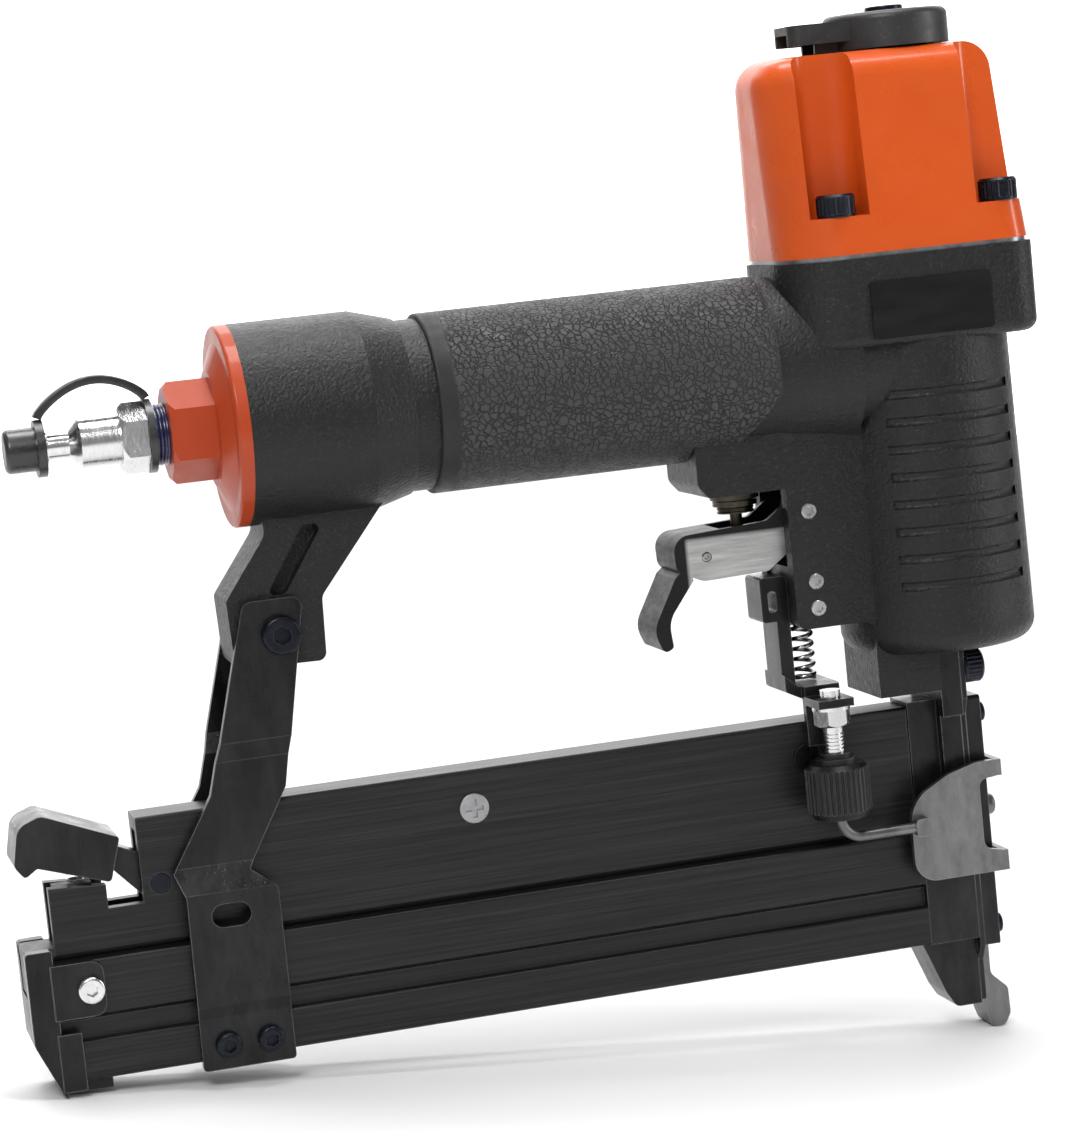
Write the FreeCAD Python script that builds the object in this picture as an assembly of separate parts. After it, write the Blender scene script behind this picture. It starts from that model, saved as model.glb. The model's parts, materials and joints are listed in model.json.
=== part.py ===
"""Pneumatic two-in-one brad nailer and stapler, built as separate pieces in millimetres.

The origin is on the drive axis, level with the tip of the released contact foot, where the tool first
touches the work. +Z runs up the drive axis to the exhaust deflector, and the handle runs along -X.
"""
import FreeCAD
import Part
import math
import os

V = FreeCAD.Vector
X, Y, Z = V(1, 0, 0), V(0, 1, 0), V(0, 0, 1)

# Driving dimensions
HANDLE_Z = 170.0          # height of the handle's axis
HANDLE_R = 20.2           # casting under the rubber grip
GRIP_R = 21.3
CHAMBER_R = 16.5          # air chamber in the handle
COLLAR_R = 23.6
HANDLE_END = -168.0       # rear face of the collar
BARREL_TOP_R = 22.8
BARREL_FOOT_R = 23.8
BARREL_FOOT_Z = 97.0
CYLINDER_BORE_R = 15.0
SLEEVE_R = 17.0
BODY_BORE_R = 19.0
BLOCK_Z = 172.0           # underside of the square block under the cap
DECK_Z = 193.5            # joint between the body and the cap
GASKET = 1.0
CAP_TOP = 242.0
BODY_FRONT, BODY_REAR, BODY_HALF = 25.5, -37.0, 23.5
SCREW_X, SCREW_Y = (-23.0, 18.0), 18.2
POCKET_Z = 203.5          # seat of the cap screws' heads
EAR_IN, EAR_OUT = 8.4, 12.4
TRIGGER_PIVOT = V(-34.5, 0, 134.5)
ARM_PIVOT = V(-59.7, 0, 126.2)
STEM_X = -49.0
SAFETY_TRAVEL = 6.5
STROKE = 71.0
NOSE_Z = 7.0              # tip of the driver guide
RAIL_REAR, RAIL_FRONT = -224.0, -12.4
RAIL_HALF, RIB_HALF = 6.0, 9.0
RAIL_FOOT, RAIL_TOP = 53.5, 83.0
COVER_SCREW_Y, COVER_SCREW_Z = (-6.2, 6.2), (26.5, 79.5)
SLOT = 3.1                # half width of the fastener channel
MAG_FOOT, MAG_TOP = 24.0, 52.3
LATCH_PIN = V(-198.0, 0, 67.0)
WHEEL = V(-34.5, -15.2, 60.5)
WHEEL_R, WHEEL_H = 7.8, 14.0
LUG_BOLT = V(-164.5, 0, 121.5)
PLATE = 2.0               # sheet thickness of the hanger straps
FIT = 0.05                # radial clearance of a running fit
GAP = 0.3                 # clearance between sliding neighbours


# ---------------------------------------------------------------- helpers
def box(x0, x1, y0, y1, z0, z1):
    return Part.makeBox(x1 - x0, y1 - y0, z1 - z0, V(x0, y0, z0))


def wide(x0, x1, half, z0, z1):
    """A box centred on the tool's middle plane."""
    return box(x0, x1, -half, half, z0, z1)


def cyl(base, axis, r, h):
    return Part.makeCylinder(r, h, base, axis)


def ring(base, axis, r_out, r_in, h):
    return cyl(base, axis, r_out, h).cut(cyl(base, axis, r_in, h))


def cone(base, axis, r0, r1, h):
    return Part.makeCone(r0, r1, h, base, axis)


def fuse(*shapes):
    out = shapes[0]
    for shape in shapes[1:]:
        out = out.fuse(shape)
    return out.removeSplitter()


def cut(shape, *tools):
    for tool in tools:
        shape = shape.cut(tool)
    return shape


def both(shape):
    """The shape and its mirror image across the middle plane."""
    return [shape, shape.mirror(V(0, 0, 0), Y)]


PLANES = {
    "xz": (lambda a, b, level: V(a, level, b), Y),
    "xy": (lambda a, b, level: V(a, b, level), Z),
    "yz": (lambda a, b, level: V(level, a, b), X),
}


def outline(points, plane, level):
    """A closed face from corners (a, b) or (a, b, radius of the rounded corner)."""
    place = PLANES[plane][0]
    corners = [(place(p[0], p[1], level), p[2] if len(p) > 2 else 0.0) for p in points]
    ends = []
    for i, (p, r) in enumerate(corners):
        back, ahead = corners[i - 1][0] - p, corners[(i + 1) % len(corners)][0] - p
        half = back.getAngle(ahead) / 2
        if r <= 0 or half > 0.49 * math.pi:
            ends.append((p, None, p))
            continue
        reach = min(r / math.tan(half), 0.48 * back.Length, 0.48 * ahead.Length)
        r = reach * math.tan(half)
        back.normalize()
        ahead.normalize()
        middle = p + (back + ahead).normalize() * (r / math.sin(half) - r)
        ends.append((p + back * reach, middle, p + ahead * reach))
    edges = []
    for i, (start, middle, end) in enumerate(ends):
        if middle is not None:
            edges.append(Part.Arc(start, middle, end).toShape())
        after = ends[(i + 1) % len(ends)][0]
        if end.distanceToPoint(after) > 1e-6:
            edges.append(Part.LineSegment(end, after).toShape())
    return Part.Face(Part.Wire(edges))


def prism(points, plane, low, high):
    return outline(points, plane, low).extrude(PLANES[plane][1] * (high - low))


def hexagon(base, axis, flats, h):
    """A hexagonal prism, measured across its flats."""
    side = flats / math.sqrt(3)
    u = V(0, 0, 1) if abs(axis.z) < 0.5 else V(1, 0, 0)
    w = axis.cross(u)
    ring_points = []
    for i in range(7):
        a = math.radians(60 * i)
        ring_points.append(base + u * (side * math.cos(a)) + w * (side * math.sin(a)))
    return Part.Face(Part.makePolygon(ring_points)).extrude(axis * h)


def cap_screw(seat, axis, d, length, socket=None):
    """A socket cap screw: its head stands on the seat, and its shank runs against axis."""
    head_r, head_h = 0.85 * d, d
    socket = socket or 0.8 * d
    head = cyl(seat, axis, head_r, head_h)
    rim = [e for e in head.Edges if e.isClosed() and (e.CenterOfMass - seat).dot(axis) > head_h / 2]
    head = head.makeChamfer(0.08 * d, rim)
    head = head.cut(hexagon(seat + axis * (0.45 * head_h), axis, socket, head_h))
    return fuse(head, cyl(seat - axis * length, axis, d / 2, length))


def button_screw(seat, axis, head_r, head_h, shank_r, length, socket):
    """A low round-headed screw with a hexagon socket."""
    head = cyl(seat, axis, head_r, head_h)
    rim = [e for e in head.Edges if e.isClosed() and (e.CenterOfMass - seat).dot(axis) > head_h / 2]
    head = head.makeFillet(0.35 * head_h, rim)
    head = head.cut(hexagon(seat + axis * (0.4 * head_h), axis, socket, head_h))
    return fuse(head, cyl(seat - axis * length, axis, shank_r, length))


def cross_screw(seat, axis, head_r, head_h, shank_r, length):
    """A pan-headed screw with a cross recess."""
    head = cyl(seat, axis, head_r, head_h)
    rim = [e for e in head.Edges if e.isClosed() and (e.CenterOfMass - seat).dot(axis) > head_h / 2]
    head = head.makeFillet(0.5 * head_h, rim)
    arm = head_r * 0.6
    for a, b in ((arm, 0.55), (0.55, arm)):
        head = head.cut(Part.makeBox(2 * a, 2 * head_h, 2 * b, seat - V(a, head_h, b)).translated(axis * (head_h * 1.15)))
    return fuse(head, cyl(seat - axis * length, axis, shank_r, length))


def coil(base, axis, r, wire_r, height, turns):
    """A compression spring with its wire's centre line on radius r."""
    rise = height - 2 * wire_r
    helix = Part.makeHelix(rise / turns, rise, r)
    profile = Part.Wire([Part.makeCircle(wire_r, V(r, 0, 0), V(0, 1, 0))])
    spring = Part.Wire(helix).makePipeShell([profile], True, True)
    spring.translate(V(0, 0, wire_r))
    spring.rotate(V(0, 0, 0), Z.cross(axis) if Z.cross(axis).Length > 1e-6 else X,
                  math.degrees(Z.getAngle(axis)))
    spring.translate(base)
    return spring


def save(name, *solids):
    shape = solids[0] if len(solids) == 1 else Part.makeCompound(list(solids))
    if not shape.isValid():
        print("not valid:", name)
    for solid in shape.Solids:
        if solid.Volume <= 0:
            print("inside out:", name)
    shape.exportStep("parts/" + name + ".step")


# ---------------------------------------------------------------- body casting
def body_plan(grow, rear_grow=None):
    """Plan outline of the square block, the gasket and the cap's foot, grown outwards by grow."""
    rear_grow = grow if rear_grow is None else rear_grow
    half, front, rear = BODY_HALF + grow, BODY_FRONT + grow, BODY_REAR - rear_grow
    nose_r, tail_r = 7.0, 15.0
    return [(front, -half, nose_r), (front, half, nose_r), (rear, half, tail_r), (rear, -half, tail_r)]


def barrel_shell():
    """The round barrel with its rounded foot and the finger grooves on both sides."""
    barrel = cone(V(0, 0, BARREL_FOOT_Z), Z, BARREL_FOOT_R, BARREL_TOP_R, BLOCK_Z + 4 - BARREL_FOOT_Z)
    foot = [e for e in barrel.Edges if e.isClosed() and abs(e.CenterOfMass.z - BARREL_FOOT_Z) < 0.1]
    barrel = barrel.makeFillet(5.0, foot)
    groove_pitch, groove_r = 6.6, 1.3
    for i in range(8):
        z = 114.0 + groove_pitch * i
        groove = Part.makeTorus(BARREL_FOOT_R + 0.62 - 0.013 * (z - BARREL_FOOT_Z), groove_r, V(0, 0, z))
        for side in (-1, 1):
            reach = wide(-15, 17, 60, z - 3, z + 3).common(
                box(-60, 60, min(0, side * 60), max(0, side * 60), z - 3, z + 3))
            barrel = barrel.cut(groove.common(reach))
    return barrel


def lug():
    """The hanger lug under the collar, with a slanting pocket in each side."""
    half = 9.0
    plate = prism([(-165.5, 152), (-165.5, 144.5, 4), (-176, 130.5, 2), (-175.5, 114.5, 2),
                   (-154.0, 114.0, 2), (-153.5, 129.0, 3), (-136.0, 150, 10), (-130.0, 152)], "xz", -half, half)
    pocket = prism([(-156.5, 146, 1.8), (-151.5, 146, 1.8), (-162.0, 130.5, 1.8), (-166.5, 130.5, 1.8)],
                   "xz", -half - 1, -half + 3.5)
    return cut(plate, *both(pocket))


def housing():
    chamber_end = -14.0
    block = prism(body_plan(0), "xy", BLOCK_Z, DECK_Z)
    foot = outline(body_plan(0), "xy", BLOCK_Z)
    foot_edges = [e for e in block.Edges if all(abs(v.Point.z - BLOCK_Z) < 0.01 for v in e.Vertexes)]
    block = block.makeFillet(3.0, foot_edges) if foot.Area else block
    handle = cyl(V(HANDLE_END, 0, HANDLE_Z), X, HANDLE_R, -HANDLE_END - 10)
    neck = cone(V(-40.5, 0, HANDLE_Z), X, HANDLE_R, 22.4, 20)
    collar = cyl(V(HANDLE_END, 0, HANDLE_Z), X, COLLAR_R, 29)
    shoulder = cone(V(HANDLE_END + 29, 0, HANDLE_Z), X, COLLAR_R, HANDLE_R + 0.6, 10)
    roof = prism([(-61.5, 160), (-61.5, 143.5, 3), (-59.0, 140.5, 1), (-38, 140.5), (-10, 140.5), (-10, 175), (-50, 175)],
                 "xz", -EAR_OUT, EAR_OUT)
    ears = prism([(-40.0, 145), (-39.8, 106.2, 2.5), (-20, 106.2, 4), (-19.0, 98.5), (-14, 98.5), (-10, 150)],
                 "xz", -EAR_OUT, EAR_OUT)
    head_block = wide(-20.5, -4.6, 12.0, 87.0, 104.0)
    shell = fuse(barrel_shell(), block, handle, neck, collar, shoulder, lug(), roof, ears, head_block)
    slot = wide(-75, -30.0, EAR_IN, 100, 140.6)
    arch = wide(-80, -39.9, EAR_OUT + 5, 100, 140.4)
    throat = fuse(cyl(V(0, 0, 101.5), Z, BODY_BORE_R, DECK_Z - 101.5 + 1), wide(-1.4, 1.4, 4.2, 80, 110),
                  cyl(V(0, 0, 98.5), Z, 8.0, 4))
    chamber = cyl(V(HANDLE_END - 1, 0, HANDLE_Z), X, CHAMBER_R, chamber_end - HANDLE_END + 1)
    cap_bore = cyl(V(HANDLE_END - 1, 0, HANDLE_Z), X, 20.0, 12.2)
    valve_bore = cyl(V(STEM_X, 0, 139), Z, 6.0, 20)
    pins = [cyl(V(x, -30, z), Y, 2.0, 60) for x, z in
            ((TRIGGER_PIVOT.x, TRIGGER_PIVOT.z), (-34.2, 117.5), (-34.2, 111.0))]
    bolt = cyl(V(LUG_BOLT.x, -30, LUG_BOLT.z), Y, 2.6, 60)
    nose_holes = [cyl(V(-17, y, 91.5), X, 2.52, 20) for y in (-7.5, 7.5)]
    deck_holes = [cyl(V(x, y, DECK_Z - 14), Z, 2.72, 20) for x in SCREW_X for y in (-SCREW_Y, SCREW_Y)]
    shell = cut(shell, arch.cut(wide(-152, -39, 40, 141, 300)), slot, throat, chamber, cap_bore, valve_bore)
    return cut(shell, *pins, bolt, *nose_holes, *deck_holes)


def grip():
    """The rubber sleeve on the handle; its front end is cut slanting towards the trigger."""
    sleeve = ring(V(-123.5, 0, HANDLE_Z), X, GRIP_R, HANDLE_R + 0.02, 82.5)
    trim = prism([(-41.5, 195), (-38.5, 176, 8), (-40, 165, 12), (-56, 145), (-20, 140), (-20, 200)],
                 "xz", -30, 30)
    rear = [e for e in sleeve.Edges if e.isClosed() and abs(e.CenterOfMass.x + 123.5) < 0.1
            and e.BoundBox.ZLength > 2 * HANDLE_R + 1]
    boss_room = wide(-61.8, -30.0, EAR_OUT + 0.2, 130, 158)
    return cut(sleeve.makeFillet(0.6, rear), trim, boss_room)


def rear_end_cap():
    """The orange end cap: spigot in the collar, flange, dished face and hexagon boss with a tapped hole."""
    axis_at = lambda x: V(x, 0, HANDLE_Z)
    flange = cyl(axis_at(HANDLE_END - 3.2), X, COLLAR_R, 3.2)
    rim = [e for e in flange.Edges if e.isClosed() and e.CenterOfMass.x < HANDLE_END - 3]
    flange = flange.makeFillet(0.8, rim)
    dome = cone(axis_at(HANDLE_END - 5.6), X, 13.5, 19.5, 2.4)
    boss = hexagon(axis_at(-184.2), X, 20.6, 12).common(cone(axis_at(-184.2), X, 10.6, 22.6, 12))
    spigot = ring(axis_at(HANDLE_END), X, 19.95, 15.5, 9)
    bore = cyl(axis_at(-190), X, 6.85, 40)
    return cut(fuse(flange, dome, boss, spigot), bore, cyl(axis_at(HANDLE_END), X, 15.5, 20))


def cap():
    """The orange cylinder cap: drafted walls, rounded crown and a pocket over each screw."""
    foot_z = DECK_Z + GASKET
    foot = outline(body_plan(-0.6), "xy", foot_z).OuterWire
    crown = outline(body_plan(-4.6, 0.2), "xy", CAP_TOP).OuterWire
    shell = Part.makeLoft([foot, crown], True, True)
    edges = [e for e in shell.Edges if all(abs(v.Point.z - CAP_TOP) < 0.01 for v in e.Vertexes)]
    shell = shell.makeFillet(7.0, edges)
    pocket_top, width, depth = CAP_TOP + 5, 7.0, 6.8
    pockets = []
    for x, open_end in zip(SCREW_X, (0, 20)):
        pocket = prism([(x - width, -SCREW_Y + depth, 5.0), (x + width + open_end, -SCREW_Y + depth, 5.0),
                        (x + width + open_end, -60), (x - width, -60)], "xy", POCKET_Z, pocket_top)
        pockets += both(pocket)
    inside = fuse(cyl(V(0, 0, foot_z - 1), Z, 19.5, 9.5), cyl(V(0, 0, foot_z), Z, 14.4, 22.5),
                  cyl(V(0, 0, foot_z), Z, 8.0, 40))
    holes = [cyl(V(x, y, foot_z - 1), Z, 2.9, 20) for x in SCREW_X for y in (-SCREW_Y, SCREW_Y)]
    vents = cyl(V(0, 0, CAP_TOP - 10), Z, 3.0, 20)
    return cut(shell, *pockets, inside, *holes, vents)


def gasket():
    plate = prism(body_plan(-1.0), "xy", DECK_Z, DECK_Z + GASKET)
    holes = [cyl(V(x, y, DECK_Z - 1), Z, 2.9, 5) for x in SCREW_X for y in (-SCREW_Y, SCREW_Y)]
    return cut(plate, cyl(V(0, 0, DECK_Z - 1), Z, 19.5, 5), *holes)


# ---------------------------------------------------------------- air inlet
def air_plug():
    """A quarter-inch quick-connect plug: nose, latching neck, shoulder, hexagon and thread."""
    at = lambda x: V(x, 0, HANDLE_Z)
    plug = fuse(cyl(at(-219.8), X, 3.9, 8), cyl(at(-211.8), X, 3.0, 5), cone(at(-206.8), X, 3.0, 5.95, 2.4),
                cyl(at(-204.4), X, 5.95, 9.2),
                hexagon(at(-195.2), X, 14.3, 6.2).common(cone(at(-195.2), X, 7.3, 11.5, 6.2)),
                cyl(at(-189.0), X, 5.9, 1.8), cyl(at(-187.2), X, 6.8, 15.2))
    thread = [Part.makeTorus(6.95, 0.35, at(-186.0 + 0.9 * i), X) for i in range(2)]
    return cut(plug, cyl(at(-225), X, 2.2, 60), *thread)


def dust_cap():
    """The rubber cup on the plug's nose, with its flange."""
    at = lambda x: V(x, 0, HANDLE_Z)
    cup = cyl(at(-221.6), X, 5.1, 8.4)
    rim = [e for e in cup.Edges if e.isClosed() and e.CenterOfMass.x < -221]
    cup = fuse(cup.makeFillet(1.2, rim), cyl(at(-214.4), X, 6.6, 2.0))
    return cup.cut(cyl(at(-220.1), X, 3.9 + FIT, 10))


def tether_ring():
    return ring(V(-188.9, 0, HANDLE_Z), X, 8.6, 5.9 + FIT, 1.6)


def tether():
    """The moulded strap between the cup and its ring: a flat band on two arcs."""
    half = 1.9
    rear, front = V(-213.4, 0, HANDLE_Z + 6.62), V(-188.1, 0, HANDLE_Z + 8.62)
    crest = V(-201.5, 0, HANDLE_Z + 15.0)
    thick = 2.2
    outer = Part.Arc(rear - V(0.9, 0, 0), crest, front + V(0.8, 0, 0)).toShape()
    inner = Part.Arc(rear + V(1.0, 0, 0), crest - V(0, 0, thick), front - V(0.8, 0, 0)).toShape()
    wire = Part.Wire([outer, Part.LineSegment(front + V(0.8, 0, 0), front - V(0.8, 0, 0)).toShape(), inner,
                      Part.LineSegment(rear + V(1.0, 0, 0), rear - V(0.9, 0, 0)).toShape()])
    return Part.Face(wire).extrude(V(0, 2 * half, 0)).translated(V(0, -half, 0))


# ---------------------------------------------------------------- exhaust deflector
def deflector():
    low, high = CAP_TOP + 0.4, 251.0
    disc = cyl(V(0, 0, low), Z, 15.0, high - low)
    crown = [e for e in disc.Edges if e.isClosed() and e.CenterOfMass.z > high - 0.1]
    disc = disc.makeFillet(1.8, crown)
    spout = prism([(-26.5, -7.0, 3), (-26.5, 7.0, 3), (0, 10), (0, -10)], "xy", 244.6, high - 1.6)
    duct = wide(-20, 0, 5.0, low, 246)
    hollow = fuse(cyl(V(0, 0, low - 1), Z, 12.0, 5.5), wide(-30, 0, 4.0, low - 1, 247.4))
    return cut(fuse(disc, spout, duct), hollow, cyl(V(0, 0, low), Z, 2.6 + FIT, 20))


def deflector_screw():
    top = 251.0
    head = button_screw(V(0, 0, top + 0.1), Z, 4.6, 1.3, 2.6, 20, 3.0)
    return head


# ---------------------------------------------------------------- drive train
def sleeve():
    tube = ring(V(0, 0, 101.6), Z, SLEEVE_R, CYLINDER_BORE_R, 94.0)
    collar = ring(V(0, 0, 150), Z, BODY_BORE_R - 0.02, SLEEVE_R, 4)
    ports = [cyl(V(-30, 0, 0), X, 1.6, 60).rotated(V(0, 0, 0), Z, 45 * i).translated(V(0, 0, 118)) for i in range(4)]
    return cut(fuse(tube, collar), *ports)


def bumper():
    pad = ring(V(0, 0, 101.6), Z, CYLINDER_BORE_R - 0.1, 5.5, 10.0)
    return pad.makeFillet(1.5, [e for e in pad.Edges if e.isClosed() and e.CenterOfMass.z > 111])


def piston():
    """Piston and driver blade; the blade runs in the guide's channel."""
    head = cyl(V(0, 0, 183.0), Z, CYLINDER_BORE_R - 0.1, 11.0)
    groove = ring(V(0, 0, 187.0), Z, 20, CYLINDER_BORE_R - 2.4, 2.6)
    blade = wide(-0.6, 0.6, 2.85, 78.0, 186.0)
    hub = cyl(V(0, 0, 178.0), Z, 4.8, 6)
    return fuse(head.cut(groove), hub, blade)


def o_ring(z, centre_r, r):
    return Part.makeTorus(centre_r, r, V(0, 0, z))


def head_valve():
    disc = cyl(V(0, 0, 195.8), Z, 17.4, 4.0)
    stem = cyl(V(0, 0, 199.8), Z, 7.8, 23.0)
    return cut(fuse(disc, stem), cyl(V(0, 0, 190), Z, 4.5, 40))


# ---------------------------------------------------------------- trigger group
def trigger():
    """A folded channel: two side walls, a web on top with an opening for the valve stem, and a finger tab."""
    half, wall = 8.0, 1.6
    side = [(-38.5, 137.0, 2.5), (-34.5, 138.6, 3), (-30.6, 134.5, 3.5), (-33.0, 129.5, 2), (-44.5, 121.0, 2),
            (-61.0, 120.5, 4), (-67.5, 123.5, 3), (-67.8, 131.8, 4.5), (-44.0, 133.0, 3)]
    body = prism(side, "xz", -half, half)
    hollow = prism([(-20, 150), (-40.0, 150), (-40.0, 131.4), (-66.0, 130.2, 3), (-65.9, 118), (-65.9, 100),
                    (-20, 100)], "xz", -half + wall, half - wall)
    window = box(-55.5, -20, -half + wall, half - wall, 128, 150)
    tab = prism([(-68.0, 122.0), (-74.6, 110.0, 8), (-72.3, 104.4, 1.2), (-69.9, 105.5, 1.0), (-70.5, 112.0, 7),
                 (-63.5, 121.0), (-64.5, 125.0)], "xz", -half, half)
    pin_hole = cyl(V(TRIGGER_PIVOT.x, -20, TRIGGER_PIVOT.z), Y, 2.0 + FIT, 40)
    arm_hole = cyl(V(ARM_PIVOT.x, -20, ARM_PIVOT.z), Y, 1.25, 40)
    return cut(fuse(cut(body, hollow), tab), window, pin_hole, arm_hole)


def trigger_arm():
    """The loose arm inside the trigger that bridges the contact yoke and the valve stem."""
    arm = prism([(-62.0, 124.2, 1.2), (-62.0, 127.4, 1.2), (-45.0, 129.2), (-40.5, 129.2, 0.8), (-40.5, 127.2, 0.8),
                 (-45.0, 127.0), (-57.5, 124.2, 1)], "xz", -5.2, 5.2)
    return arm.cut(cyl(V(ARM_PIVOT.x, -20, ARM_PIVOT.z), Y, 1.2 + FIT, 40))


def spring_pin(x, z, r, half):
    """A rolled pin across the tool, with dished ends."""
    pin = cyl(V(x, -half, z), Y, r, 2 * half)
    pin = pin.makeChamfer(0.3, [e for e in pin.Edges if e.isClosed()])
    dish = cyl(V(x, -half - 1, z), Y, r * 0.5, 1.8)
    return cut(pin, *both(dish))


def valve_body():
    at = lambda z: V(STEM_X, 0, z)
    body = fuse(cyl(at(138.6), Z, 5.95, 19), ring(at(135.2), Z, 4.5, 1.8, 3.6), ring(at(137.0), Z, 5.4, 1.8, 1.2))
    threads = [Part.makeTorus(4.7, 0.4, at(135.9 + 0.9 * i)) for i in range(2)]
    return cut(body, cyl(at(130), Z, 1.5 + FIT, 22), cyl(at(149), Z, 4.4, 12), *threads)


def valve_stem():
    at = lambda z: V(STEM_X, 0, z)
    return fuse(cyl(at(129.4), Z, 1.5, 20.0), cyl(at(149.4), Z, 4.0, 2.2))


# ---------------------------------------------------------------- contact safety
def safety_guide():
    """The fixed guide block on two pins; the contact yoke slides behind it."""
    block = wide(-39.0, -30.2, EAR_IN - 0.05, 107.0, 121.0)
    pins = [cyl(V(-34.2, -20, z), Y, 2.0, 40) for z in (111.0, 117.5)]
    pilot = cyl(V(-35.5, 0, 105.0), Z, 1.6, 3)
    return fuse(block.cut(Part.makeCompound(pins)), pilot)


def yoke():
    """The sliding yoke: rear tongue under the trigger, open cage round the spring, and the adjuster's shelf."""
    tongue = prism([(-46.5, 108.0, 1), (-46.5, 119.0, 1), (-39.6, 119.0, 1), (-39.6, 108.0)], "xz", -5.5, 5.5)
    tongue = tongue.cut(prism([(-44.6, 110.5, 0.8), (-44.6, 115.5, 0.8), (-42.6, 115.5, 0.8), (-42.6, 110.5, 0.8)],
                              "xz", -10, 10))
    back = prism([(-43.0, 91.0), (-43.0, 110.0), (-39.6, 110.0), (-39.6, 91.0)], "xz", -5.5, 5.5)
    cage = prism([(-43.0, 95.0), (-43.0, 91.0, 1), (-38.0, 88.4, 1), (-29.6, 88.4, 1), (-29.6, 92.0), (-31.5, 92.0),
                  (-39.6, 92.0)], "xz", -7.6, 7.6)
    shelf_plate = box(-39.0, -30.0, -9.6, -7.6, 77.5, 92.0)
    shelf = box(-39.0, -30.0, -19.4, -9.6, 87.6, 89.6)
    hole = cyl(V(WHEEL.x, WHEEL.y, 80), Z, 2.5, 20)
    return cut(fuse(tongue, back, cage, shelf_plate, shelf), hole)


def adjuster_rod():
    """The threaded rod with its lock nut and collar, fast in the yoke's shelf."""
    at = lambda z: V(WHEEL.x, WHEEL.y, z)
    rod = cyl(at(68.0), Z, 2.45, 23.5)
    grooves = [ring(at(77.2 + 0.9 * i), Z, 4, 2.05, 0.4) for i in range(5)]
    return cut(rod, *grooves)


def lock_nut():
    at = lambda z: V(WHEEL.x, WHEEL.y, z)
    nut = hexagon(at(82.8), Z, 8.0, 4.0)
    nut = nut.common(cone(at(80.8), Z, 1.9, 7.9, 6.0)).common(cone(at(82.8), Z, 6.1, 3.9, 5.5))
    washer = cyl(at(86.8), Z, 4.6, 0.8)
    return fuse(nut, washer).cut(cyl(at(80), Z, 2.5, 10))


def depth_wheel():
    """The knurled thumb wheel, with a stepped neck and a bevelled foot."""
    at = lambda dz: WHEEL + V(0, 0, dz)
    flutes, flute_r = 36, 0.42
    wheel = fuse(cone(at(0), Z, WHEEL_R - 1.4, WHEEL_R, 2.0), cyl(at(2.0), Z, WHEEL_R, WHEEL_H - 4.0),
                 cone(at(WHEEL_H - 2), Z, WHEEL_R, WHEEL_R - 1.6, 1.2), cyl(at(WHEEL_H - 0.8), Z, 5.0, 1.4),
                 cyl(at(WHEEL_H + 0.6), Z, 3.9, 1.2))
    cutters = []
    for i in range(flutes):
        a = 2 * math.pi * i / flutes
        cutters.append(cyl(at(1.6) + V(WHEEL_R * math.cos(a), WHEEL_R * math.sin(a), 0), Z, flute_r, WHEEL_H - 3.2))
    bore = cyl(at(5.0), Z, 2.5 + FIT, 20)
    seat = fuse(cyl(at(-1), Z, 1.3 + FIT, 5), cyl(at(1.5), Z, 2.3, 3.5))
    return cut(wheel, Part.makeCompound(cutters), bore, seat)


def contact_wire():
    """The round rod from the wheel to the contact plate, bent once towards the nose."""
    r, bend = 1.3, 5.0
    top, turn_z = WHEEL.z + 4.4, 55.0
    a = V(WHEEL.x, WHEEL.y, top)
    b = V(WHEEL.x, WHEEL.y, turn_z + bend)
    mid = V(WHEEL.x + bend * (1 - math.cos(math.pi / 4)), WHEEL.y, turn_z + bend - bend * math.sin(math.pi / 4))
    c = V(WHEEL.x + bend, WHEEL.y, turn_z)
    d = V(-16.0, WHEEL.y, turn_z)
    path = Part.Wire([Part.LineSegment(a, b).toShape(), Part.Arc(b, mid, c).toShape(),
                      Part.LineSegment(c, d).toShape()])
    profile = Part.Wire([Part.makeCircle(r, a, Z)])
    rod = path.makePipeShell([profile], True, False)
    return fuse(rod, cyl(V(WHEEL.x, WHEEL.y, WHEEL.z + 2.4), Z, 2.1, 1.8))


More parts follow.
